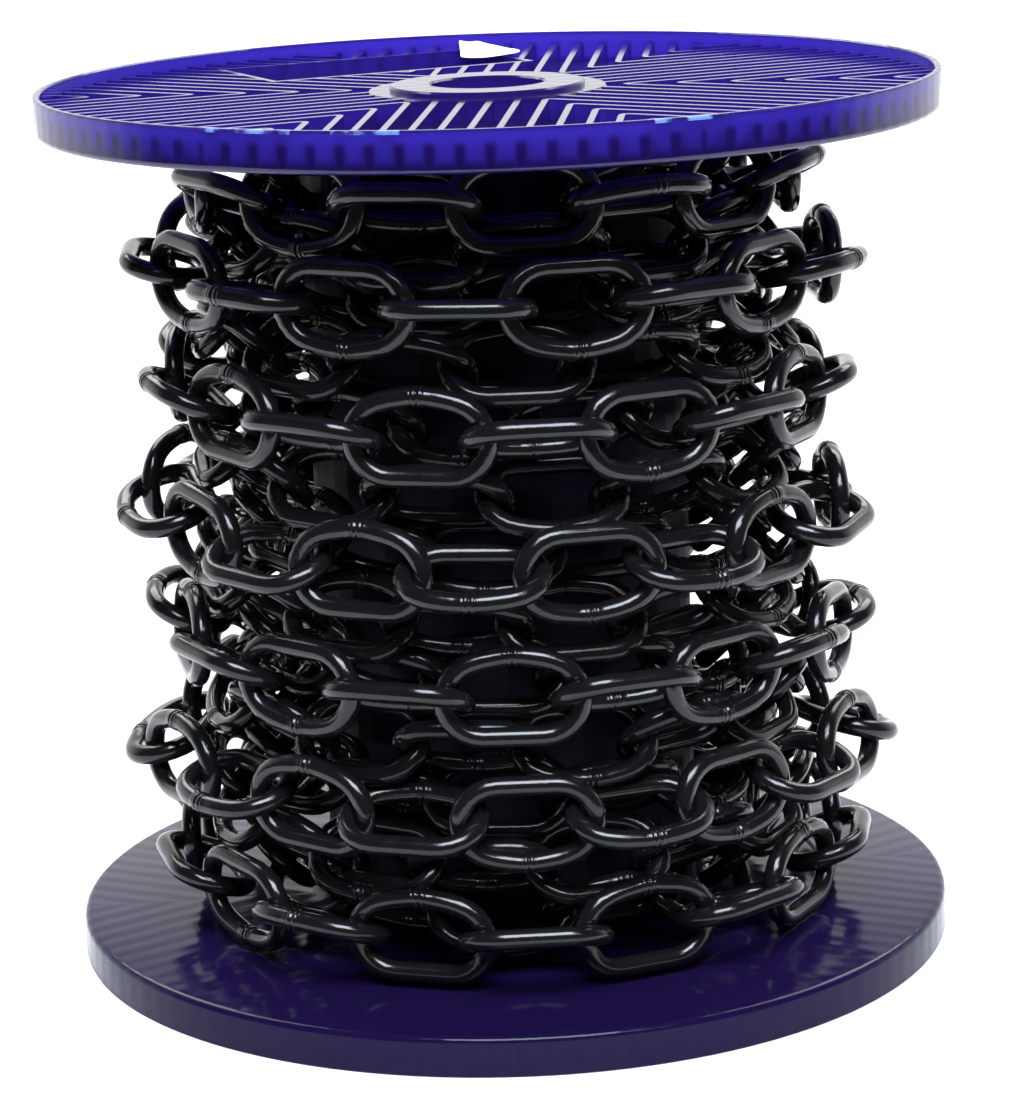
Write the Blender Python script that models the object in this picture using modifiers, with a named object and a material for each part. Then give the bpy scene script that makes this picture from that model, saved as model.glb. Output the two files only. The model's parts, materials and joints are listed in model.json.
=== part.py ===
"""Reel of black long-link steel chain on a ribbed plastic spool.

One unit is 1 m. The reel stands on its lower flange, the axis is +Z, and the origin is the centre of its foot.
"""

import math
import random

import bmesh
import bpy
from mathutils import Matrix, Vector

MM = 0.001
GAP = 0.3 * MM                      # free space between pieces that rest on each other

# The spool
FLANGE_RADIUS = 113 * MM
REEL_HEIGHT = 222 * MM
RIM_HEIGHT = 10 * MM
RIM_WALL = 1.8 * MM
WEB_THICKNESS = 2 * MM
RIB_PITCH = 6.7 * MM
RIB_THICKNESS = 1.6 * MM
RIB_RECESS = 3 * MM                 # the ribs stop this far short of the rim's edge
RIB_PLATE = 0.8 * MM                # the ribs of a sector stand on a plate of this thickness, against the web
RIBS_EACH_SIDE = 8                  # ribs on each side of a sector's middle line
SECTORS = 6
SECTOR_STEPS = 8                    # steps in a sector's arcs
RIB_TURN = math.radians(5)          # the rib pattern of a flange that lies rib side down is turned this much
LABEL_ANGLE = RIB_TURN - math.radians(120)
BORE_RADIUS = 14.3 * MM
COLLAR_RADIUS = 24.5 * MM
COLLAR_RECESS = 1.7 * MM
HUB_RADIUS = 30 * MM
SPIGOT_INNER_RADIUS = 40 * MM
SPIGOT_RADIUS = 43.6 * MM
SPIGOT_HEIGHT = 6 * MM
BARREL_INNER_RADIUS = 44 * MM
BARREL_RADIUS = 48 * MM
LABEL_NEAR = 52 * MM                # the label recess, along and across a sector boundary
LABEL_FAR = 90 * MM
LABEL_WIDTH = 72 * MM
ROUND_STEPS = 48
SHARP_ANGLE = math.radians(65)      # edges that bend less than this are shaded smooth

# The chain: 5 mm wire, 28 mm inside length, 23.5 mm wide
WIRE = 5 * MM
PITCH = 28 * MM                     # from joint to joint, which is a link's inside length
LINK_REACH = 16.5 * MM              # from a link's centre to the middle of the wire at its end
LINK_HALF = 9.25 * MM               # from a link's centre to the middle of the wire at its side
SEAM_SLACK = 1.4 * MM               # how loosely one turn hangs in the next
CLIMB = 0.9                         # 0: a turn climbs evenly; 1: it runs level at the front
TWIST_SPAN = (0.3, 0.7)             # the part of a turn over which a twist is spread
LEAN_SPREAD = math.radians(5)       # how much the links lean at random
SEED = 7

# The outer winding as it passes the front, from the bottom up: height and radius of the chain in mm, the roll
# of the links on edge in degrees, and the twist of the chain on its way up to the next row.
ROWS = [
    (23.0, 83.6, 22, 0),
    (52.5, 83.2, -20, 90),
    (83.0, 82.9, 26, 0),
    (113.0, 82.8, -24, 0),
    (145.5, 81.5, 28, 90),
    (176.5, 81.3, 12, 0),
    (199.3, 75.0, 26.5, 0),
]
FRONT = math.radians(-86.9)         # the direction in which the front of each row lies
FIRST_TURN = -0.295                 # where the winding starts and ends, in turns from the front of the first row
LAST_TURN = 6.27

# Where the chain lies slack and stands off the reel: turns, then mm outward and upward, and its length in turns.
SLACK = [
    (0.77, 10, 0, 0.040),
    (1.24, 8, -3, 0.035),
    (1.77, 4, -2, 0.040),
    (2.76, 5, 3, 0.040),
    (3.25, 7, 4, 0.035),
    (4.76, 5, 0, 0.040),
    (5.24, 5, 0, 0.035),
]

# The deeper layers: a plain core, narrower at its top, and round it one thick coil for the winding that shows
# between the outer turns
CORE_RADIUS = 65.5 * MM
CORE_TOP_RADIUS = 61.5 * MM
CORE_STEP = 175 * MM
COIL_RADIUS = 72.3 * MM
COIL_WIDTH = 11.4 * MM
COIL_TURNS = (-0.2, 4.3)
COIL_STEPS = 24                     # points for each turn


def collection(name):
    made = bpy.data.collections.new(name)
    bpy.context.scene.collection.children.link(made)
    return made


def put(name, data, group):
    made = bpy.data.objects.new(name, data)
    group.objects.link(made)
    return made


def material(name, colour, roughness, metallic=0.0):
    made = bpy.data.materials.new(name)
    made.use_nodes = True
    shader = made.node_tree.nodes["Principled BSDF"]
    shader.inputs["Base Color"].default_value = (*colour, 1)
    shader.inputs["Roughness"].default_value = roughness
    shader.inputs["Metallic"].default_value = metallic
    return made


def as_mesh(obj, weld=0.00002):
    """The evaluated mesh of obj, welded and shaded smooth between its sharp edges, in place of obj."""
    bpy.context.view_layer.update()
    depsgraph = bpy.context.evaluated_depsgraph_get()
    mesh = bpy.data.meshes.new_from_object(obj.evaluated_get(depsgraph))
    welded = bmesh.new()
    welded.from_mesh(mesh)
    bmesh.ops.remove_doubles(welded, verts=welded.verts, dist=weld)
    welded.to_mesh(mesh)
    welded.free()
    mesh.shade_smooth()
    mesh.set_sharp_from_angle(angle=SHARP_ANGLE)
    name, group, place = obj.name, obj.users_collection[0], obj.matrix_world.copy()
    bpy.data.objects.remove(obj)
    made = put(name, mesh, group)
    made.matrix_world = place
    return made


def boolean(obj, other, operation):
    made = obj.modifiers.new(operation.lower(), "BOOLEAN")
    made.operation = operation
    made.object = other
    made.solver = "EXACT"


def turned(name, profile, group):
    """A closed profile of (radius, height) points, clockwise, turned about the axis."""
    mesh = bpy.data.meshes.new(name)
    edges = [(i, (i + 1) % len(profile)) for i in range(len(profile))]
    mesh.from_pydata([(radius, 0, height) for radius, height in profile], edges, [])
    made = put(name, mesh, group)
    screw = made.modifiers.new("turn", "SCREW")
    screw.steps = screw.render_steps = ROUND_STEPS
    screw.use_merge_vertices = True
    screw.merge_threshold = 0.00005
    return made


def outlines(name, loops, low, high, group):
    """Flat outlines extruded from height low to height high."""
    curve = bpy.data.curves.new(name, "CURVE")
    curve.dimensions = "2D"
    curve.fill_mode = "BOTH"
    curve.extrude = (high - low) / 2
    for loop in loops:
        spline = curve.splines.new("POLY")
        spline.points.add(len(loop) - 1)
        for point, (x, y) in zip(spline.points, loop):
            point.co = (x, y, 0, 1)
        spline.use_cyclic_u = True
    made = put(name, curve, group)
    made.location.z = (low + high) / 2
    return made


def polar(radius, angle):
    return Vector((radius * math.cos(angle), radius * math.sin(angle)))


def reach_rim(start, direction, radius):
    """The point where a line from start along direction comes to the given radius."""
    along = start.dot(direction)
    return start + direction * (math.sqrt(along ** 2 + radius ** 2 - start.length_squared) - along)


def straight_rib(offset, sector_angle):
    """A rib from the hub to the rim, beside the sector's middle line."""
    direction = polar(1, sector_angle)
    side = Vector((-direction.y, direction.x))
    near = [side * (offset + half) + direction * COLLAR_RADIUS
            for half in (-RIB_THICKNESS / 2, RIB_THICKNESS / 2)]
    far = [reach_rim(point, direction, FLANGE_RADIUS) for point in near]
    return [near[0], far[0], far[1], near[1]]


def chevron_rib(offset, boundary_angle):
    """Two ribs of neighbouring sectors, which meet on the boundary between them."""
    spread = math.pi / SECTORS
    arms = [polar(1, boundary_angle - spread), polar(1, boundary_angle + spread)]
    apex = 2 * offset
    outer = polar(apex - RIB_THICKNESS, boundary_angle)
    inner = polar(apex + RIB_THICKNESS, boundary_angle)
    blunt = [outer + arm * RIB_THICKNESS for arm in arms]
    rim = FLANGE_RADIUS
    return [reach_rim(blunt[0], arms[0], rim), blunt[0], blunt[1], reach_rim(blunt[1], arms[1], rim),
            reach_rim(inner, arms[1], rim), inner, reach_rim(inner, arms[0], rim)]


def label_corners(inset):
    """The label recess's corners, drawn in by inset."""
    along = polar(1, LABEL_ANGLE)
    across = Vector((-along.y, along.x))
    half = LABEL_WIDTH / 2 - inset
    near, far = LABEL_NEAR + inset, LABEL_FAR - inset
    return [along * near - across * half, along * far - across * half,
            along * far + across * half, along * near + across * half]


def ring(name, inner, outer, low, high, group):
    return as_mesh(turned(name, [(outer, high), (outer, low), (inner, low), (inner, high)], group))


def flange_ribs(group):
    """All the ribs of one flange on their plate, with the label recess and the wall round it."""
    loops = []
    for sector in range(SECTORS):
        middle = RIB_TURN + math.radians(30 + 60 * sector)
        boundary = RIB_TURN + math.radians(60 * sector)
        for number in range(RIBS_EACH_SIDE):
            offset = (number + 0.5) * RIB_PITCH
            if 2 * offset < HUB_RADIUS:
                loops.append(straight_rib(offset, middle))
                loops.append(straight_rib(-offset, middle))
            else:
                loops.append(chevron_rib(offset, boundary))
    web_low = RIM_HEIGHT - WEB_THICKNESS - GAP
    in_plate = web_low - RIB_PLATE / 2
    ribs = as_mesh(outlines("ribs", loops, RIB_RECESS, in_plate, group))
    recess = as_mesh(outlines("recess", [label_corners(0)], 0, RIM_HEIGHT, group))
    boolean(ribs, recess, "DIFFERENCE")
    plate = ring("rib_plate", COLLAR_RADIUS, FLANGE_RADIUS, web_low - RIB_PLATE, web_low, group)
    boolean(plate, as_mesh(ribs), "UNION")
    wall_loops = [label_corners(-RIB_THICKNESS), label_corners(0)]
    wall = as_mesh(outlines("wall", wall_loops, RIB_RECESS, in_plate, group))
    boolean(plate, wall, "UNION")
    return as_mesh(plate)


def sector_outline(sector):
    """A sector between the hub and the rim, a gap short of both and of its neighbours."""
    first = RIB_TURN + 2 * math.pi * sector / SECTORS
    points = []
    for radius, ends in ((HUB_RADIUS + GAP, (0, 1)), (FLANGE_RADIUS - RIM_WALL - 2 * GAP, (1, 0))):
        inset = GAP / 2 / radius
        for step in range(SECTOR_STEPS + 1):
            part = ends[0] + (ends[1] - ends[0]) * step / SECTOR_STEPS
            points.append(polar(radius, first + inset + (2 * math.pi / SECTORS - 2 * inset) * part))
    return points


def sector_ribs(sector, ribs, group):
    """The ribs of one sector."""
    made = put(f"sector_{sector + 1}", ribs.data, group)
    wedge = as_mesh(outlines("wedge", [sector_outline(sector)], 0, RIM_HEIGHT, group))
    boolean(made, wedge, "INTERSECT")
    return as_mesh(made).data


def flange_mesh(group):
    """A flange without its hub and ribs, standing on its rim, web on top."""
    web_low = RIM_HEIGHT - WEB_THICKNESS
    return as_mesh(turned("flange", [
        (FLANGE_RADIUS - MM, RIM_HEIGHT), (FLANGE_RADIUS, RIM_HEIGHT - MM), (FLANGE_RADIUS, 0),
        (FLANGE_RADIUS - RIM_WALL, 0), (FLANGE_RADIUS - RIM_WALL, web_low), (HUB_RADIUS + GAP, web_low),
        (HUB_RADIUS + GAP, RIM_HEIGHT), (SPIGOT_INNER_RADIUS, RIM_HEIGHT),
        (SPIGOT_INNER_RADIUS, RIM_HEIGHT + SPIGOT_HEIGHT), (SPIGOT_RADIUS, RIM_HEIGHT + SPIGOT_HEIGHT),
        (SPIGOT_RADIUS, RIM_HEIGHT),
    ], group)).data


def hub_mesh(group):
    """The ring round the bore, with a collar that stands out of it."""
    return as_mesh(turned("hub", [
        (HUB_RADIUS, RIM_HEIGHT), (HUB_RADIUS, RIB_RECESS), (COLLAR_RADIUS, RIB_RECESS),
        (COLLAR_RADIUS, COLLAR_RECESS), (BORE_RADIUS, COLLAR_RECESS), (BORE_RADIUS, RIM_HEIGHT),
    ], group)).data


def link_mesh(group):
    """One link in the XY plane, long along X: a closed wire bent round eight corners."""
    cut = LINK_HALF * math.tan(math.radians(22.5))
    corner = [(LINK_REACH, cut), (LINK_REACH - LINK_HALF + cut, LINK_HALF)]
    points = corner + [(-x, y) for x, y in reversed(corner)]
    points += [(-x, -y) for x, y in points]
    curve = bpy.data.curves.new("link", "CURVE")
    curve.dimensions = "3D"
    curve.twist_mode = "Z_UP"
    curve.bevel_depth = WIRE / 2 / math.cos(math.radians(30))
    curve.bevel_resolution = 1
    spline = curve.splines.new("POLY")
    spline.points.add(len(points) - 1)
    for point, (x, y) in zip(spline.points, points):
        point.co = (x, y, 0, 1)
    spline.use_cyclic_u = True
    return as_mesh(put("link", curve, group))


def share(part):
    """How much of a climb is done after a part of a turn."""
    return part - CLIMB * math.sin(2 * math.pi * part) / (2 * math.pi)


def between(turns, column):
    """A column of ROWS, read off at a number of turns from the front of the first row."""
    row = min(max(math.floor(turns), 0), len(ROWS) - 2)
    part = min(max(turns - row, 0), 1)
    low, high = ROWS[row][column], ROWS[row + 1][column]
    return low + (high - low) * share(part)


def slack(turns, column):
    """How far the chain stands off its place, in mm: outward is column 1, upward column 2."""
    return sum(place[column] * math.exp(-((turns - place[0]) / place[3]) ** 2) for place in SLACK)


def twist(turns):
    """Twist of the chain at a number of turns, in degrees."""
    total = 0
    for row in range(len(ROWS)):
        part = (turns - row - TWIST_SPAN[0]) / (TWIST_SPAN[1] - TWIST_SPAN[0])
        total += ROWS[row][3] * min(max(part, 0), 1)
    return total


def round_reel(turns, radius, height):
    """A point round the reel, clockwise from the front as seen from above."""
    return Vector((*polar(radius, FRONT - 2 * math.pi * turns), height))


def spot(turns):
    """A point on the outer winding."""
    radius = between(turns, 1) + slack(turns, 1)
    height = between(turns, 0) + slack(turns, 2)
    return round_reel(turns, radius * MM, height * MM)


def turns_along(turns, distance):
    """The turns that a distance along the winding makes."""
    return distance / (2 * math.pi * between(turns, 1) * MM)


def next_joint(turns):
    """The joint one link on from the joint at turns."""
    step = turns_along(turns, PITCH)
    for _ in range(5):
        step *= PITCH / (spot(turns + step) - spot(turns)).length
    return turns + step


def thick_coil(name, group):
    """A round tube that climbs half way between the outer turns."""
    start, end = COIL_TURNS
    count = round((end - start) * COIL_STEPS)
    curve = bpy.data.curves.new(name, "CURVE")
    curve.dimensions = "3D"
    curve.twist_mode = "Z_UP"
    curve.use_fill_caps = True
    curve.bevel_depth = COIL_WIDTH / 2
    curve.bevel_resolution = 1
    spline = curve.splines.new("POLY")
    spline.points.add(count)
    for number, point in enumerate(spline.points):
        turns = start + number / COIL_STEPS
        height = (between(turns, 0) + between(turns + 1, 0)) / 2 * MM
        point.co = (*round_reel(turns, COIL_RADIUS, height), 1)
    return put(name, curve, group)


def winding():
    """The links of the outer winding, as (turn number, place in the chain, placing)."""
    chance = random.Random(SEED)
    links = []
    start, end = FIRST_TURN, next_joint(FIRST_TURN)
    while end < LAST_TURN:
        turn = math.floor((start + end) / 2 + 0.5)
        if links and turn != links[-1][0]:
            start -= turns_along(start, SEAM_SLACK)
            end = next_joint(start)
        forward = (spot(end) - spot(start)).normalized()
        centre = (spot(end) + spot(start)) / 2
        outward = Vector((*centre.xy, 0))
        outward = (outward - forward * outward.dot(forward)).normalized()
        lean = math.radians(90 * len(links) + twist(start))
        lean += math.radians(between(start, 2)) * math.sin(lean) ** 2
        lean += chance.uniform(-LEAN_SPREAD, LEAN_SPREAD)
        frame = Matrix((forward, outward.cross(forward), outward)).transposed().to_4x4()
        placing = Matrix.Translation(centre) @ frame @ Matrix.Rotation(lean, 4, "X")
        links.append((turn, len(links), placing))
        start, end = end, next_joint(end)
    return links


def joined(name, mesh, placings, group):
    """Copies of a mesh, one at each placing, as one object."""
    copies = bmesh.new()
    for placing in placings:
        copy = mesh.copy()
        copy.transform(placing)
        copies.from_mesh(copy)
        bpy.data.meshes.remove(copy)
    made = bpy.data.meshes.new(name)
    copies.to_mesh(made)
    copies.free()
    return put(name, made, group)


def main():
    for obj in list(bpy.data.objects):
        bpy.data.objects.remove(obj)
    reel = collection("chain_reel")
    cutters = collection("cutters")

    plastic = material("blue_plastic", (0.035, 0.03, 0.5), 0.25)
    tube_plastic = material("barrel_plastic", (0.04, 0.035, 0.4), 0.4)
    steel = material("black_steel", (0.012, 0.012, 0.014), 0.18, 0.2)
    deep_steel = material("deep_steel", (0.01, 0.01, 0.012), 0.3, 0.2)

    ribs = flange_ribs(cutters)
    mouldings = {"flange_{}": flange_mesh(cutters), "hub_{}": hub_mesh(cutters)}
    for sector in range(SECTORS):
        mouldings["ribs_{}_" + str(sector + 1)] = sector_ribs(sector, ribs, cutters)
    upside_down = Matrix.Translation((0, 0, REEL_HEIGHT)) @ Matrix.Rotation(math.pi, 4, "X")
    for name, moulding in mouldings.items():
        moulding.materials.clear()
        moulding.materials.append(plastic)
        put(name.format("bottom"), moulding, reel)
        put(name.format("top"), moulding.copy(), reel).matrix_world = upside_down

    low, high = RIM_HEIGHT + GAP, REEL_HEIGHT - RIM_HEIGHT - GAP
    barrel = ring("barrel", BARREL_INNER_RADIUS, BARREL_RADIUS, low, high, reel)
    barrel.data.materials.append(tube_plastic)

    core = as_mesh(turned("inner_layers", [
        (CORE_RADIUS, CORE_STEP), (CORE_RADIUS, low), (BARREL_RADIUS + GAP, low),
        (BARREL_RADIUS + GAP, high), (CORE_TOP_RADIUS, high), (CORE_TOP_RADIUS, CORE_STEP),
    ], reel))
    core.data.materials.append(deep_steel)
    coil = thick_coil("second_layer", reel)
    coil.data.materials.append(deep_steel)

    link = link_mesh(cutters)
    links = winding()
    for row in range(len(ROWS)):
        even, odd = [[placing for turn, number, placing in links if turn == row and number % 2 == rest]
                     for rest in (0, 1)]
        turn = joined(f"chain_turn_{row + 1}", link.data, even, reel)
        others = joined(f"odd_links_{row + 1}", link.data, odd, cutters)
        turn.data.materials.append(steel)
        boolean(turn, others, "UNION")

    for obj in cutters.objects:
        obj.hide_render = True
        obj.display_type = "WIRE"


main()
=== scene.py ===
"""Looks for the reel of chain: a translucent blue plastic spool, wound with glossy black welded steel links."""

import json
import math
import random

import bmesh
import bpy
from mathutils import Matrix, Vector

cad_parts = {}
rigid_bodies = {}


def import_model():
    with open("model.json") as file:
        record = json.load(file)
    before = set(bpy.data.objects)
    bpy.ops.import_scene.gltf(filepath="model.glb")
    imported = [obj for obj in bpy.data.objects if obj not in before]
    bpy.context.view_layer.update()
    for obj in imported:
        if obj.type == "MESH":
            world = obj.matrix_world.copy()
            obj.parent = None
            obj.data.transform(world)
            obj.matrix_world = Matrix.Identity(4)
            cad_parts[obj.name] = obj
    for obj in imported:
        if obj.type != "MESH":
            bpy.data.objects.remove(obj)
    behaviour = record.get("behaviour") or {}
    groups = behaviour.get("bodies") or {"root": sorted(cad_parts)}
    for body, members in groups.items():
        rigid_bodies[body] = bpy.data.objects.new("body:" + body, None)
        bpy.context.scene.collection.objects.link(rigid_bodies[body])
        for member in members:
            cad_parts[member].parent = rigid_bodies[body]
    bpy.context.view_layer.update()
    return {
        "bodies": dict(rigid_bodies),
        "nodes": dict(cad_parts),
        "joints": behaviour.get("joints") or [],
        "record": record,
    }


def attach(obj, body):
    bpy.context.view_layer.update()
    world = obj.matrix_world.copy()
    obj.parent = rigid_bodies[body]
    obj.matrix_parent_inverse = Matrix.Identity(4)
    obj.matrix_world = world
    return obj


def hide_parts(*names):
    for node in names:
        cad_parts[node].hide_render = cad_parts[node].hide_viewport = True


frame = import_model()

MM = 0.001

# The spool, as in the part's source
FLANGE_RADIUS = 113 * MM
REEL_HEIGHT = 222 * MM
RIM_HEIGHT = 10 * MM
RIM_WALL = 1.8 * MM
RIM_ROUND = 1.6 * MM
WEB_THICKNESS = 2 * MM
RIB_PITCH = 6.7 * MM
RIB_THICKNESS = 1.6 * MM
RIB_RECESS = 3 * MM
RIBS_EACH_SIDE = 8
SECTORS = 6
RIB_TURN = math.radians(5)
LABEL_ANGLE = RIB_TURN - math.radians(120)
BORE_RADIUS = 14.3 * MM
COLLAR_RADIUS = 24.5 * MM
COLLAR_RECESS = 1.7 * MM
HUB_RADIUS = 30 * MM
SPIGOT_INNER_RADIUS = 40 * MM
SPIGOT_RADIUS = 43.6 * MM
SPIGOT_HEIGHT = 6 * MM
BARREL_RADIUS = 48 * MM
LABEL_NEAR = 52 * MM
LABEL_FAR = 90 * MM
LABEL_WIDTH = 72 * MM
ROUND_STEPS = 192
# Each flange's copy of the one plastic: its face's colour, how much of it is see-through in the web and in the rim, and
# its gloss.
# The bottom copy's darker face, small see-through share and low gloss are painted shade; in both, the web's smaller
# share is painted shade on the web.
FLANGE_LOOKS_LIT_AND_SHADED = (
    ("bottom", (0.009, 0.004, 0.035), 0.10, 0.14, 1.25),
    ("top", (0.018, 0.005, 0.075), 0.55, 0.68, 1.5),
)
PLASTIC_BODY = (0.29, 0.23, 1.0)
PLASTIC_THICK_AND_SHADOWED = (0.10, 0.05, 0.45)  # what gets through where ribs or the web stand behind the rim: partly thicker plastic, partly painted rib shadows and painted shade towards the web
PLASTIC_NICK = (0.18, 0.28, 0.72)
PLASTIC_ROUGHNESS = 0.12
NICKS = [(math.radians(middle), math.radians(half)) for middle, half in ((119, 6), (104, 4), (66, 5))]
NICK_DEPTH = 0.9 * MM               # from the rim's free edge

# The chain and its outer winding, as in the part's source
WIRE = 5 * MM
PITCH = 28 * MM
LINK_REACH = 16.5 * MM
LINK_HALF = 9.25 * MM
SEAM_SLACK = 1.4 * MM
CLIMB = 0.9
TWIST_SPAN = (0.3, 0.7)
LEAN_SPREAD = math.radians(5)
SEED = 7
ROWS = [
    (23.0, 83.6, 22, 0),
    (52.5, 83.2, -20, 90),
    (83.0, 82.9, 26, 0),
    (113.0, 82.8, -24, 0),
    (145.5, 81.5, 28, 90),
    (176.5, 81.3, 12, 0),
    (199.3, 75.0, 26.5, 0),
]
FRONT = math.radians(-86.9)
FIRST_TURN = -0.295
LAST_TURN = 6.27
SLACK = [
    (0.77, 10, 0, 0.040),
    (1.24, 8, -3, 0.035),
    (1.77, 4, -2, 0.040),
    (2.76, 5, 3, 0.040),
    (3.25, 7, 4, 0.035),
    (4.76, 5, 0, 0.040),
    (5.24, 5, 0, 0.035),
]

# The deeper windings, which only this scene has: height and radius of the chain in mm, roll, twist. Their links lie
# slanted, the second winding's between the outer rows and the third's at their heights.
SECOND_ROWS = [
    (37.5, 70.8, 0, 0),
    (67.8, 71.0, 0, 0),
    (98.0, 71.0, 0, 0),
    (129.3, 70.4, 0, 0),
    (161.0, 69.8, 0, 0),
    (187.5, 65.5, 0, 0),
]
THIRD_ROWS = [(height, min(radius - 20.5, 62.5), 0, 0) for height, radius, _, _ in ROWS]
SLANT = math.radians(45)
SLANT_SPREAD = math.radians(4)

FLOOR_SIZE = (1.3, 3.4)             # m
FLOOR_EDGE = -0.31                  # m

# The scrap of paper: its two long edges from near to far, in mm, and its height at the near end
SCRAP_LEFT = ((-7, 68), (-7.5, 105))
SCRAP_RIGHT = ((4, 71), (-2, 102))
SCRAP_HEIGHT = 219.4
SCRAP_STEPS = 9

# A link's detail
CROWN_STEPS = 12                    # round each end
WELD_HALF = 1.4 * MM                # the collar that the weld leaves, to each side of its middle
WELD_SWELL = 0.18 * MM
WELD_GROOVE = 0.30 * MM
WELD_BOW = 1.3 * MM                 # how far the welded side stands out


def new_material(name):
    made = bpy.data.materials.new(name)
    made.use_nodes = True
    nodes = made.node_tree.nodes
    return made, nodes, made.node_tree.links, nodes["Principled BSDF"]


def noise_at(nodes, links, scale, detail, source):
    texture = nodes.new("ShaderNodeTexNoise")
    texture.inputs["Scale"].default_value = scale
    texture.inputs["Detail"].default_value = detail
    links.new(source, texture.inputs["Vector"])
    return texture.outputs["Fac"]


def ramp(nodes, links, source, *stops):
    made = nodes.new("ShaderNodeValToRGB")
    links.new(source, made.inputs["Fac"])
    while len(made.color_ramp.elements) < len(stops):
        made.color_ramp.elements.new(0.5)
    for element, (place, colour) in zip(made.color_ramp.elements, stops):
        element.position = place
        element.color = (*colour, 1)
    return made.outputs["Color"]


def grey(value):
    return (value, value, value)


def chain_material(name, shine):
    """Glossy black coating, with a slightly uneven gloss."""
    made, nodes, links, shader = new_material(name)
    place = nodes.new("ShaderNodeTexCoord").outputs["Object"]
    shader.inputs["Base Color"].default_value = (0.006, 0.0054, 0.0062, 1)
    shader.inputs["Specular IOR Level"].default_value = shine
    rough = ramp(nodes, links, noise_at(nodes, links, 260, 4, place), (0.3, grey(0.13)), (0.75, grey(0.21)))
    links.new(rough, shader.inputs["Roughness"])
    bump = nodes.new("ShaderNodeBump")
    bump.inputs["Strength"].default_value = 0.08
    bump.inputs["Distance"].default_value = 0.0004
    links.new(noise_at(nodes, links, 700, 3, place), bump.inputs["Height"])
    links.new(bump.outputs["Normal"], shader.inputs["Normal"])
    return made


def math_node(nodes, links, operation, *values):
    made = nodes.new("ShaderNodeMath")
    made.operation = operation
    for value, socket in zip(values, made.inputs):
        if isinstance(value, (int, float)):
            socket.default_value = value
        else:
            links.new(value, socket)
    return made.outputs[0]


def dot_node(nodes, links, vector, angle):
    """The part of a vector that lies along a direction in the XY plane."""
    made = nodes.new("ShaderNodeVectorMath")
    made.operation = "DOT_PRODUCT"
    links.new(vector, made.inputs[0])
    made.inputs[1].default_value = (math.cos(angle), math.sin(angle), 0)
    return made.outputs["Value"]


def sink_marks(nodes, links, place):
    """A shallow wave that follows the ribs: opposite sectors share one direction, and the nearest one counts."""
    best, wave = None, None
    for number in range(SECTORS // 2):
        angle = RIB_TURN + math.radians(30 + 60 * number)
        along = math_node(nodes, links, "ABSOLUTE", dot_node(nodes, links, place, angle))
        across = dot_node(nodes, links, place, angle + math.pi / 2)
        ripple = math_node(nodes, links, "COSINE", math_node(nodes, links, "MULTIPLY", across, 2 * math.pi / RIB_PITCH))
        if best is None:
            best, wave = along, ripple
            continue
        nearer = math_node(nodes, links, "GREATER_THAN", along, best)
        pick = nodes.new("ShaderNodeMix")
        links.new(nearer, pick.inputs["Factor"])
        links.new(wave, pick.inputs["A"])
        links.new(ripple, pick.inputs["B"])
        wave = pick.outputs["Result"]
        best = math_node(nodes, links, "MAXIMUM", along, best)
    return wave


def radius_at(nodes, links, place):
    """The distance from the reel's axis."""
    flat = nodes.new("ShaderNodeVectorMath")
    flat.operation = "MULTIPLY"
    links.new(place, flat.inputs[0])
    flat.inputs[1].default_value = (1, 1, 0)
    length = nodes.new("ShaderNodeVectorMath")
    length.operation = "LENGTH"
    links.new(flat.outputs["Vector"], length.inputs[0])
    return length.outputs["Value"]


def nicks(nodes, links, place, rim):
    """Where the rim's free edge is knocked white: 1 there, 0 elsewhere."""
    parts = nodes.new("ShaderNodeSeparateXYZ")
    links.new(place, parts.inputs[0])
    angle = math_node(nodes, links, "ARCTAN2", parts.outputs["Y"], parts.outputs["X"])
    spots = 0
    for middle, half in NICKS:
        spots = math_node(nodes, links, "ADD", spots, math_node(nodes, links, "COMPARE", angle, middle, half))
    edge = math_node(nodes, links, "LESS_THAN", parts.outputs["Z"], NICK_DEPTH)
    ragged = map_range(nodes, links, noise_at(nodes, links, 200, 3, place), (0.4, 0.62))
    for mask in (edge, rim, ragged):
        spots = math_node(nodes, links, "MULTIPLY", spots, mask)
    return spots


def map_range(nodes, links, source, span, values=(0, 1)):
    made = nodes.new("ShaderNodeMapRange")
    made.interpolation_type = "SMOOTHSTEP"
    made.inputs["From Min"].default_value, made.inputs["From Max"].default_value = span
    made.inputs["To Min"].default_value, made.inputs["To Max"].default_value = values
    links.new(source, made.inputs["Value"])
    return made.outputs["Result"]


def thick_and_shadowed(nodes, links, place, wave, rim):
    """Where the rim has a rib or the web behind it: 1 there, 0 elsewhere. The stripes, wider than the ribs, and the
    band towards the web are partly thicker plastic, partly painted rib shadows and painted shade.
    """
    parts = nodes.new("ShaderNodeSeparateXYZ")
    links.new(place, parts.inputs[0])
    below = map_range(nodes, links, parts.outputs["Z"], (RIB_RECESS - 0.8 * MM, RIB_RECESS + 1.2 * MM))
    ribs = math_node(nodes, links, "MULTIPLY", map_range(nodes, links, wave, (-1, 0), (1, 0)), below)
    web = map_range(nodes, links, parts.outputs["Z"], (RIM_HEIGHT - 2 * WEB_THICKNESS, RIM_HEIGHT - WEB_THICKNESS / 2))
    return math_node(nodes, links, "MULTIPLY", math_node(nodes, links, "MAXIMUM", ribs, web), rim)


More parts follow.
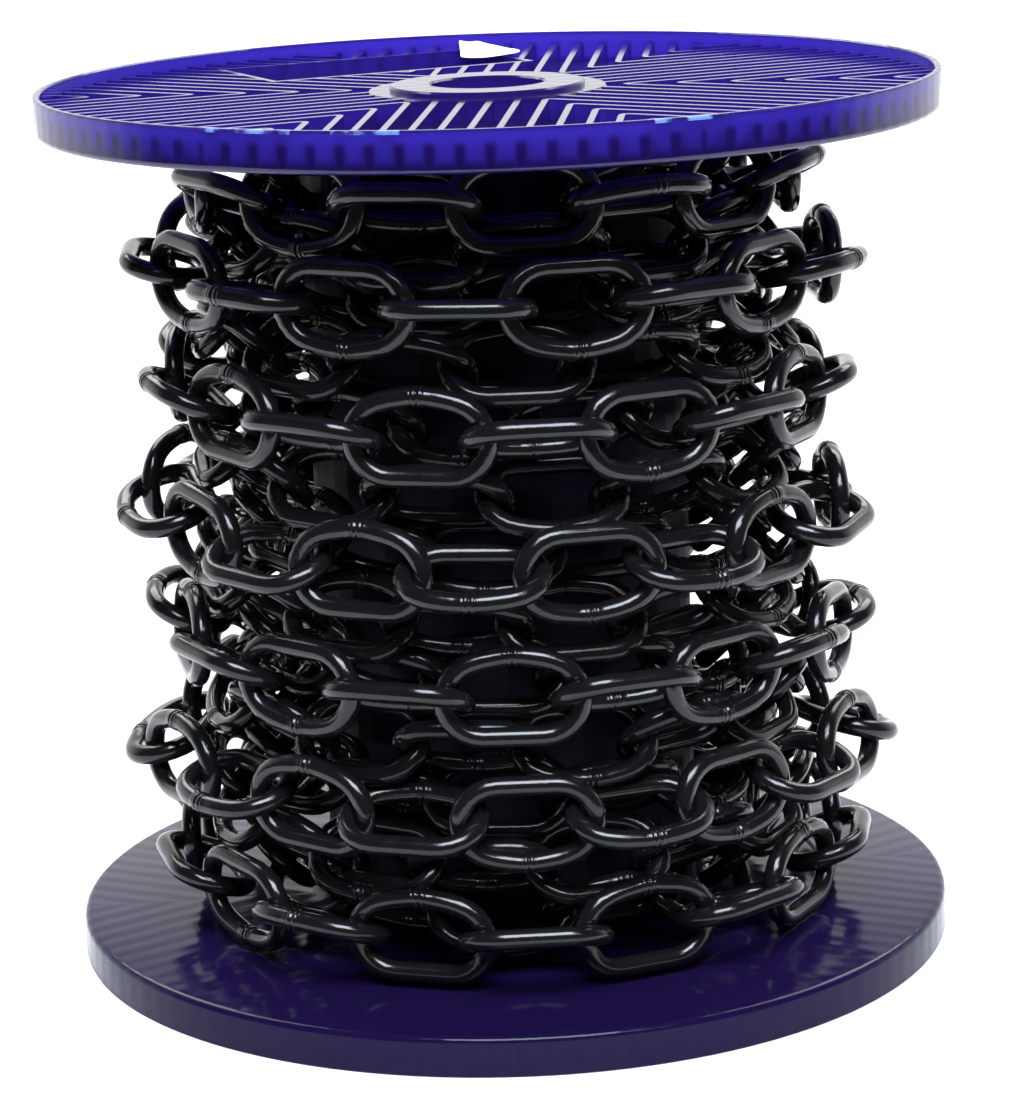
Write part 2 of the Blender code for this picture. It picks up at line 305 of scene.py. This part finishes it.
def plastic_material(name, colour, clear_web, clear_rim, refraction):
    """Translucent moulded plastic: a glossy face over a body that lets light through, the rim more than the web, which
    paints shade on the web.
    The body is darker at the ribs and towards the web behind the rim: partly thicker plastic, partly painted rib
    shadows and painted shade.
    """
    made, nodes, links, shader = new_material(name)
    place = nodes.new("ShaderNodeTexCoord").outputs["Object"]
    tint = nodes.new("ShaderNodeMix")
    tint.data_type = "RGBA"
    rim = math_node(nodes, links, "GREATER_THAN", radius_at(nodes, links, place), FLANGE_RADIUS - 1.5 * RIM_WALL)
    white = nicks(nodes, links, place, rim)
    links.new(white, tint.inputs["Factor"])
    tint.inputs["A"].default_value = (*colour, 1)
    tint.inputs["B"].default_value = (*PLASTIC_NICK, 1)
    links.new(tint.outputs["Result"], shader.inputs["Base Color"])
    shader.inputs["Roughness"].default_value = PLASTIC_ROUGHNESS
    shader.inputs["IOR"].default_value = refraction
    glow = nodes.new("ShaderNodeBsdfTranslucent")
    wave = sink_marks(nodes, links, place)
    shade = nodes.new("ShaderNodeMix")
    shade.data_type = "RGBA"
    # The body is darker at the ribs and towards the web: painted rib shadows and painted shade, partly thicker plastic.
    links.new(thick_and_shadowed(nodes, links, place, wave, rim), shade.inputs["Factor"])
    shade.inputs["A"].default_value = (*PLASTIC_BODY, 1)
    shade.inputs["B"].default_value = (*PLASTIC_THICK_AND_SHADOWED, 1)
    links.new(shade.outputs["Result"], glow.inputs["Color"])
    gloss = nodes.new("ShaderNodeBsdfGlossy")
    gloss.inputs["Roughness"].default_value = PLASTIC_ROUGHNESS
    fresnel = nodes.new("ShaderNodeFresnel")
    fresnel.inputs["IOR"].default_value = refraction
    body = nodes.new("ShaderNodeMixShader")
    # The web lets less through than the rim: painted shade on the web.
    clear = math_node(nodes, links, "MULTIPLY_ADD", rim, clear_rim - clear_web, clear_web)
    links.new(math_node(nodes, links, "SUBTRACT", clear, white), body.inputs["Fac"])
    links.new(shader.outputs["BSDF"], body.inputs[1])
    face = nodes.new("ShaderNodeMixShader")
    links.new(fresnel.outputs["Fac"], face.inputs["Fac"])
    links.new(glow.outputs["BSDF"], face.inputs[1])
    links.new(gloss.outputs["BSDF"], face.inputs[2])
    links.new(face.outputs["Shader"], body.inputs[2])
    links.new(body.outputs["Shader"], nodes["Material Output"].inputs["Surface"])
    grain = math_node(nodes, links, "MULTIPLY", noise_at(nodes, links, 60, 2, place), 4)
    height = math_node(nodes, links, "ADD", grain, wave)
    bump = nodes.new("ShaderNodeBump")
    bump.inputs["Strength"].default_value = 0.45
    bump.inputs["Distance"].default_value = 0.00004
    links.new(height, bump.inputs["Height"])
    for socket in (shader.inputs["Normal"], gloss.inputs["Normal"], fresnel.inputs["Normal"]):
        links.new(bump.outputs["Normal"], socket)
    return made


def paper_material():
    made, nodes, links, shader = new_material("label_paper")
    place = nodes.new("ShaderNodeTexCoord").outputs["Object"]
    tint = ramp(nodes, links, noise_at(nodes, links, 400, 5, place), (0.3, (0.7, 0.71, 0.74)), (0.7, (0.9, 0.9, 0.92)))
    links.new(tint, shader.inputs["Base Color"])
    shader.inputs["Roughness"].default_value = 0.85
    return made


def floor_material():
    made, nodes, links, shader = new_material("floor")
    shader.inputs["Base Color"].default_value = (0.9, 0.9, 0.9, 1)
    shader.inputs["Roughness"].default_value = 0.6
    return made


def put(name, data):
    made = bpy.data.objects.new(name, data)
    bpy.context.scene.collection.objects.link(made)
    return made


def as_mesh(obj, weld=0.00002):
    """The evaluated mesh of obj, welded, in place of obj."""
    bpy.context.view_layer.update()
    depsgraph = bpy.context.evaluated_depsgraph_get()
    mesh = bpy.data.meshes.new_from_object(obj.evaluated_get(depsgraph))
    mesh.transform(obj.matrix_world)
    welded = bmesh.new()
    welded.from_mesh(mesh)
    bmesh.ops.remove_doubles(welded, verts=welded.verts, dist=weld)
    welded.to_mesh(mesh)
    welded.free()
    name = obj.name
    bpy.data.objects.remove(obj)
    return put(name, mesh)


def combine(obj, other, operation):
    """obj with other joined to it or cut from it; other is used up."""
    modifier = obj.modifiers.new(operation.lower(), "BOOLEAN")
    modifier.operation = operation
    modifier.object = other
    modifier.solver = "EXACT"
    made = as_mesh(obj)
    bpy.data.objects.remove(other)
    return made


def turned(name, profile):
    """A closed profile of (radius, height) points, clockwise, turned about the axis."""
    mesh = bpy.data.meshes.new(name)
    edges = [(i, (i + 1) % len(profile)) for i in range(len(profile))]
    mesh.from_pydata([(radius, 0, height) for radius, height in profile], edges, [])
    made = put(name, mesh)
    screw = made.modifiers.new("turn", "SCREW")
    screw.steps = screw.render_steps = ROUND_STEPS
    screw.use_merge_vertices = True
    screw.merge_threshold = 0.00005
    return as_mesh(made)


def outlines(name, loops, low, high):
    """Flat outlines extruded from height low to height high."""
    curve = bpy.data.curves.new(name, "CURVE")
    curve.dimensions = "2D"
    curve.fill_mode = "BOTH"
    curve.extrude = (high - low) / 2
    for loop in loops:
        spline = curve.splines.new("POLY")
        spline.points.add(len(loop) - 1)
        for point, (x, y) in zip(spline.points, loop):
            point.co = (x, y, 0, 1)
        spline.use_cyclic_u = True
    made = put(name, curve)
    made.location.z = (low + high) / 2
    return as_mesh(made)


def polar(radius, angle):
    return Vector((radius * math.cos(angle), radius * math.sin(angle)))


def reach_rim(start, direction, radius):
    """The point where a line from start along direction comes to the given radius."""
    along = start.dot(direction)
    return start + direction * (math.sqrt(along ** 2 + radius ** 2 - start.length_squared) - along)


def straight_rib(offset, sector_angle, rim):
    """A rib from the hub to the rim, beside the sector's middle line."""
    direction = polar(1, sector_angle)
    side = Vector((-direction.y, direction.x))
    near = [side * (offset + half) + direction * COLLAR_RADIUS
            for half in (-RIB_THICKNESS / 2, RIB_THICKNESS / 2)]
    far = [reach_rim(point, direction, rim) for point in near]
    return [near[0], far[0], far[1], near[1]]


def chevron_rib(offset, boundary_angle, rim):
    """Two ribs of neighbouring sectors, which meet in a rounded point on the boundary between them."""
    spread = math.pi / SECTORS
    arms = [polar(1, boundary_angle - spread), polar(1, boundary_angle + spread)]
    bends = []
    for apex, round_off in ((2 * offset - RIB_THICKNESS, 4.8 * MM), (2 * offset + RIB_THICKNESS, 1.5 * MM)):
        tip = polar(apex, boundary_angle)
        first, last = tip + arms[0] * round_off, tip + arms[1] * round_off
        bends.append([first.lerp(tip, t).lerp(tip.lerp(last, t), t) for t in (0, 0.25, 0.5, 0.75, 1)])
    outer, inner = bends
    return [reach_rim(outer[0], arms[0], rim), *outer, reach_rim(outer[-1], arms[1], rim),
            reach_rim(inner[-1], arms[1], rim), *reversed(inner), reach_rim(inner[0], arms[0], rim)]


def label_corners(inset):
    """The label recess's corners, drawn in by inset."""
    along = polar(1, LABEL_ANGLE)
    across = Vector((-along.y, along.x))
    half = LABEL_WIDTH / 2 - inset
    near, far = LABEL_NEAR + inset, LABEL_FAR - inset
    return [along * near - across * half, along * far - across * half,
            along * far + across * half, along * near + across * half]


def flange_ribs():
    """All the ribs of one flange, less the label recess."""
    rim = FLANGE_RADIUS - RIM_WALL / 2
    loops = []
    for sector in range(SECTORS):
        middle = RIB_TURN + math.radians(30 + 60 * sector)
        boundary = RIB_TURN + math.radians(60 * sector)
        for number in range(RIBS_EACH_SIDE):
            offset = (number + 0.5) * RIB_PITCH
            if 2 * offset < HUB_RADIUS:
                loops.append(straight_rib(offset, middle, rim))
                loops.append(straight_rib(-offset, middle, rim))
            else:
                loops.append(chevron_rib(offset, boundary, rim))
    ribs = outlines("ribs", loops, RIB_RECESS, RIM_HEIGHT - WEB_THICKNESS / 2)
    recess = outlines("recess", [label_corners(0)], 0, RIM_HEIGHT)
    return combine(ribs, recess, "DIFFERENCE")


def flange_mesh():
    """A flange that stands on its rim, web on top."""
    web_low = RIM_HEIGHT - WEB_THICKNESS
    edge = [(FLANGE_RADIUS - RIM_ROUND * (1 - math.sin(a)), RIM_HEIGHT - RIM_ROUND * (1 - math.cos(a)))
            for a in (0, math.pi / 8, math.pi / 4, 3 * math.pi / 8, math.pi / 2)]
    made = turned("flange", edge + [
        (FLANGE_RADIUS, 0.35 * MM), (FLANGE_RADIUS - 0.35 * MM, 0),
        (FLANGE_RADIUS - RIM_WALL + 0.35 * MM, 0), (FLANGE_RADIUS - RIM_WALL, 0.35 * MM),
        (FLANGE_RADIUS - RIM_WALL, web_low), (HUB_RADIUS, web_low),
        (HUB_RADIUS, RIB_RECESS + 0.4 * MM), (HUB_RADIUS - 0.4 * MM, RIB_RECESS), (COLLAR_RADIUS, RIB_RECESS),
        (COLLAR_RADIUS, COLLAR_RECESS + 0.5 * MM), (COLLAR_RADIUS - 0.5 * MM, COLLAR_RECESS),
        (BORE_RADIUS + 0.5 * MM, COLLAR_RECESS), (BORE_RADIUS, COLLAR_RECESS + 0.5 * MM),
        (BORE_RADIUS, RIM_HEIGHT), (SPIGOT_INNER_RADIUS, RIM_HEIGHT),
        (SPIGOT_INNER_RADIUS, RIM_HEIGHT + SPIGOT_HEIGHT), (SPIGOT_RADIUS, RIM_HEIGHT + SPIGOT_HEIGHT),
        (SPIGOT_RADIUS, RIM_HEIGHT),
    ])
    made = combine(made, flange_ribs(), "UNION")
    wall = outlines("wall", [label_corners(-RIB_THICKNESS), label_corners(0)],
                    RIB_RECESS, RIM_HEIGHT - WEB_THICKNESS / 2)
    made = combine(made, wall, "UNION")
    mesh = made.data
    bpy.data.objects.remove(made)
    mesh.shade_smooth()
    mesh.set_sharp_from_angle(angle=math.radians(35))
    return mesh


def add_flanges():
    mesh = flange_mesh()
    for end, *looks in FLANGE_LOOKS_LIT_AND_SHADED:
        piece = put(f"flange_{end}_moulding", mesh.copy())
        piece.data.materials.clear()
        # The bottom flange gets the darker, duller copy: painted shade.
        piece.data.materials.append(plastic_material(f"reel_plastic_{end}", *looks))
        if end == "top":
            piece.matrix_world = Matrix.Translation((0, 0, REEL_HEIGHT)) @ Matrix.Rotation(math.pi, 4, "X")
        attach(piece, "root")
        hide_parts(*[node for node in frame["nodes"] if f"_{end}" in node])


def add_scrap():
    """The torn end of a paper label, curled a little, on the ribs behind the hub and beside the label recess."""
    mesh = bmesh.new()
    chance = random.Random(5)
    rows = []
    for row in range(SCRAP_STEPS + 1):
        part = row / SCRAP_STEPS
        left, right = (Vector(low).lerp(Vector(high), part) for low, high in (SCRAP_LEFT, SCRAP_RIGHT))
        right += Vector((7.5 * math.sin(math.pi * part ** 0.65) ** 2 + chance.uniform(-0.5, 0.5), 0))
        ends = (left, left.lerp(right, 0.35), left.lerp(right, 0.7), right)
        curl = SCRAP_HEIGHT + 1.3 * part ** 2
        rows.append([mesh.verts.new((x * MM, y * MM, (curl + lift + chance.uniform(0, 0.15)) * MM))
                     for (x, y), lift in zip(ends, (0.5, 0, 0, 0.4))])
    for low, high in zip(rows, rows[1:]):
        for column in range(3):
            mesh.faces.new((low[column], low[column + 1], high[column + 1], high[column]))
    data = bpy.data.meshes.new("label_scrap")
    mesh.to_mesh(data)
    mesh.free()
    data.materials.append(paper_material())
    piece = put("label_scrap", data)
    thick = piece.modifiers.new("thickness", "SOLIDIFY")
    thick.thickness = 0.2 * MM
    smooth = piece.modifiers.new("smooth", "SUBSURF")
    smooth.levels = smooth.render_levels = 2
    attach(piece, "root")


def link_path():
    """The middle line of a link's wire as (x, y, wire radius) points, with the weld on its +Y side."""
    straight = LINK_REACH - LINK_HALF
    points = []
    for centre, first in ((straight, -90), (-straight, 90)):
        for step in range(CROWN_STEPS + 1):
            angle = math.radians(first + 180 * step / CROWN_STEPS)
            x, y = centre + LINK_HALF * math.cos(angle), LINK_HALF * math.sin(angle)
            points.append((x, y, WIRE / 2))
        if first == -90:
            points += weld_path(straight)
        else:
            points += [(x * straight, -LINK_HALF, WIRE / 2) for x in (-0.4, 0.4)]
    return [(x, y + WELD_BOW * max(0, 1 - (x / (1.5 * straight)) ** 2) ** 2 * (y > 0), r) for x, y, r in points]


def weld_path(straight):
    """The welded side, from +X to -X: a collar with a groove to each side and one in its middle."""
    marks = [(0.8 * straight, 0), (0.5 * straight, 0)]
    collar = [(1.35, -0.3), (1.12, 0.25), (1.0, -0.9), (0.82, 1.0), (0.55, 0.9), (0.3, 1.0), (0.12, -0.8)]
    marks += [(WELD_HALF * place, swell) for place, swell in collar]
    marks += [(-x, swell) for x, swell in reversed(marks)]
    points = []
    for x, swell in marks:
        depth = WELD_SWELL if swell > 0 else WELD_GROOVE
        points.append((x, LINK_HALF, WIRE / 2 + swell * depth))
    return points


def link_mesh(name, sides):
    """One link in the XY plane, long along X."""
    path = link_path()
    mesh = bmesh.new()
    rings = []
    for number, (x, y, radius) in enumerate(path):
        before, after = path[number - 1], path[(number + 1) % len(path)]
        along = Vector((after[0] - before[0], after[1] - before[1], 0)).normalized()
        across = Vector((along.y, -along.x, 0))
        ring = []
        for side in range(sides):
            angle = 2 * math.pi * side / sides
            ring.append(mesh.verts.new(
                Vector((x, y, 0)) + radius * (across * math.cos(angle) + Vector((0, 0, math.sin(angle))))))
        rings.append(ring)
    for number, ring in enumerate(rings):
        following = rings[(number + 1) % len(rings)]
        for side in range(sides):
            other = (side + 1) % sides
            mesh.faces.new((ring[side], following[side], following[other], ring[other]))
    bmesh.ops.recalc_face_normals(mesh, faces=mesh.faces)
    made = bpy.data.meshes.new(name)
    mesh.to_mesh(made)
    mesh.free()
    made.shade_smooth()
    return made


def share(part):
    """How much of a climb is done after a part of a turn."""
    return part - CLIMB * math.sin(2 * math.pi * part) / (2 * math.pi)


def between(rows, turns, column):
    """A column of rows, read off at a number of turns from the front of the first row."""
    row = min(max(math.floor(turns), 0), len(rows) - 2)
    part = min(max(turns - row, 0), 1)
    low, high = rows[row][column], rows[row + 1][column]
    return low + (high - low) * share(part)


def slack(places, turns, column):
    """How far the chain stands off its place, in mm: outward is column 1, upward column 2."""
    return sum(place[column] * math.exp(-((turns - place[0]) / place[3]) ** 2) for place in places)


def twist(rows, turns):
    """Twist of the chain at a number of turns, in degrees."""
    total = 0
    for row in range(len(rows)):
        part = (turns - row - TWIST_SPAN[0]) / (TWIST_SPAN[1] - TWIST_SPAN[0])
        total += rows[row][3] * min(max(part, 0), 1)
    return total


def spot(rows, places, turns):
    """A point on a winding."""
    radius = (between(rows, turns, 1) + slack(places, turns, 1)) * MM
    height = (between(rows, turns, 0) + slack(places, turns, 2)) * MM
    return Vector((*polar(radius, FRONT - 2 * math.pi * turns), height))


def turns_along(rows, turns, distance):
    """The turns that a distance along a winding makes."""
    return distance / (2 * math.pi * between(rows, turns, 1) * MM)


def next_joint(rows, places, turns):
    """The joint one link on from the joint at turns."""
    step = turns_along(rows, turns, PITCH)
    for _ in range(5):
        step *= PITCH / (spot(rows, places, turns + step) - spot(rows, places, turns)).length
    return turns + step


def winding(rows, places, first, last, start_lean, spread, seed):
    """The links of a winding, as (turn number, placing)."""
    chance = random.Random(seed)
    made = []
    start, end = first, next_joint(rows, places, first)
    while end < last:
        turn = math.floor((start + end) / 2 + 0.5)
        if made and turn != made[-1][0]:
            start -= turns_along(rows, start, SEAM_SLACK)
            end = next_joint(rows, places, start)
        low, high = spot(rows, places, start), spot(rows, places, end)
        forward = (high - low).normalized()
        centre = (high + low) / 2
        outward = Vector((*centre.xy, 0))
        outward = (outward - forward * outward.dot(forward)).normalized()
        lean = start_lean + math.radians(90 * len(made) + twist(rows, start))
        lean += math.radians(between(rows, start, 2)) * math.sin(lean) ** 2
        lean += chance.uniform(-spread, spread)
        frame = Matrix((forward, outward.cross(forward), outward)).transposed().to_4x4()
        made.append((turn, Matrix.Translation(centre) @ frame @ Matrix.Rotation(lean, 4, "X")))
        start, end = end, next_joint(rows, places, end)
    return made


def joined(name, mesh, placings, seed):
    """Copies of a link, one at each placing, as one piece; every copy is turned over by chance."""
    chance = random.Random(seed)
    turns_over = [Matrix.Identity(4), Matrix.Rotation(math.pi, 4, "X"),
                  Matrix.Rotation(math.pi, 4, "Y"), Matrix.Rotation(math.pi, 4, "Z")]
    copies = bmesh.new()
    for placing in placings:
        copy = mesh.copy()
        copy.transform(placing @ chance.choice(turns_over))
        copies.from_mesh(copy)
        bpy.data.meshes.remove(copy)
    made = bpy.data.meshes.new(name)
    copies.to_mesh(made)
    copies.free()
    made.shade_smooth()
    return put(name, made)


def add_chain():
    # The deeper windings get a duller copy of the same steel: painted shade for the shade deep inside the reel.
    steel, deep_steel = chain_material("chain_steel", 0.43), chain_material("deep_steel", 0.3)
    fine, plain = link_mesh("fine_link", 16), link_mesh("plain_link", 10)
    outer = winding(ROWS, SLACK, FIRST_TURN, LAST_TURN, 0, LEAN_SPREAD, SEED)
    for turn in range(len(ROWS)):
        piece = joined(f"links_turn_{turn + 1}", fine, [place for row, place in outer if row == turn], turn)
        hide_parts(f"chain_turn_{turn + 1}")
        finish_chain(piece, steel)
    second = winding(SECOND_ROWS, [], -0.45, 5.45, SLANT, SLANT_SPREAD, 11)
    third = winding(THIRD_ROWS, [], -0.45, 6.45, SLANT, SLANT_SPREAD, 12)
    for name, node, places in (("links_second_layer", "second_layer", second),
                               ("links_third_layer", "inner_layers", third)):
        piece = joined(name, plain, [place for _, place in places], len(places))
        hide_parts(node)
        finish_chain(piece, deep_steel)


def finish_chain(piece, steel):
    piece.data.materials.append(steel)
    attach(piece, "root")


def dress_barrel():
    # The barrel is coloured near-black, though its plastic is blue: painted shade between the windings.
    plastic, nodes, links, shader = new_material("barrel_plastic")
    shader.inputs["Base Color"].default_value = (0.003, 0.0025, 0.012, 1)
    shader.inputs["Specular IOR Level"].default_value = 0.15
    shader.inputs["Roughness"].default_value = 0.5
    barrel = frame["nodes"]["barrel"]
    barrel.data.materials.clear()
    barrel.data.materials.append(plastic)


def add_floor():
    """A pale table, whose near edge is a hand's breadth in front of the reel."""
    bpy.ops.mesh.primitive_grid_add(x_subdivisions=8, y_subdivisions=8, size=1)
    floor = bpy.context.active_object
    floor.name = "floor"
    floor.scale = (*FLOOR_SIZE, 1)
    floor.location.y = FLOOR_EDGE + FLOOR_SIZE[1] / 2
    floor.data.materials.append(floor_material())


def add_light(name, place, target, size, power, colour):
    data = bpy.data.lights.new(name, "AREA")
    data.shape = "RECTANGLE"
    data.size, data.size_y = size
    data.energy = power
    data.color = colour
    made = put(name, data)
    made.location = place
    made.rotation_euler = (Vector(target) - Vector(place)).to_track_quat("-Z", "Y").to_euler()


def add_world():
    """Light behind the reel, less so higher up, and dim in front, where the room is; the camera sees white."""
    world = bpy.data.worlds.new("studio")
    bpy.context.scene.world = world
    world.use_nodes = True
    nodes, links = world.node_tree.nodes, world.node_tree.links
    direction = nodes.new("ShaderNodeSeparateXYZ")
    links.new(nodes.new("ShaderNodeTexCoord").outputs["Generated"], direction.inputs[0])
    light = [map_range(nodes, links, direction.outputs["Y"], (-0.05, 0.5), (0.05, 1.0)),
             map_range(nodes, links, direction.outputs["Z"], (0.2, 0.6), (1.4, 0.4))]
    path = nodes.new("ShaderNodeLightPath")
    strength = math_node(nodes, links, "MAXIMUM", math_node(nodes, links, "MULTIPLY", *light),
                         path.outputs["Is Camera Ray"])
    links.new(strength, nodes["Background"].inputs["Strength"])
    nodes["Background"].inputs["Color"].default_value = (1, 1, 1, 1)


def add_studio():
    add_world()
    add_light("window", (0.1, -1.25, 1.9), (0, 0, 0.1), (1.4, 0.9), 85, (0.78, 0.86, 1.0))
    add_light("strip", (0.3, -1.3, 1.25), (0, 0, 0.1), (1.4, 0.05), 9, (1.0, 0.96, 0.9))
    add_light("backdrop", (0, 2.0, 2.4), (0, 1.2, 0), (4, 2.5), 160, (1, 1, 1))
    bpy.context.scene.view_settings.view_transform = "Standard"


def add_camera():
    data = bpy.data.cameras.new("camera")
    data.lens = 36 * 3520 / 1118
    data.sensor_width = 36
    camera = put("camera", data)
    camera.location = (0, -0.8838, 0.3137)
    turn = Matrix.Rotation(-0.0016, 4, "Z") @ Matrix.Rotation(math.pi / 2 - 0.2402, 4, "X")
    camera.rotation_euler = (turn @ Matrix.Rotation(-0.0344, 4, "Z")).to_euler()
    bpy.context.scene.camera = camera


add_flanges()
add_scrap()
add_chain()
dress_barrel()
add_floor()
add_studio()
add_camera()
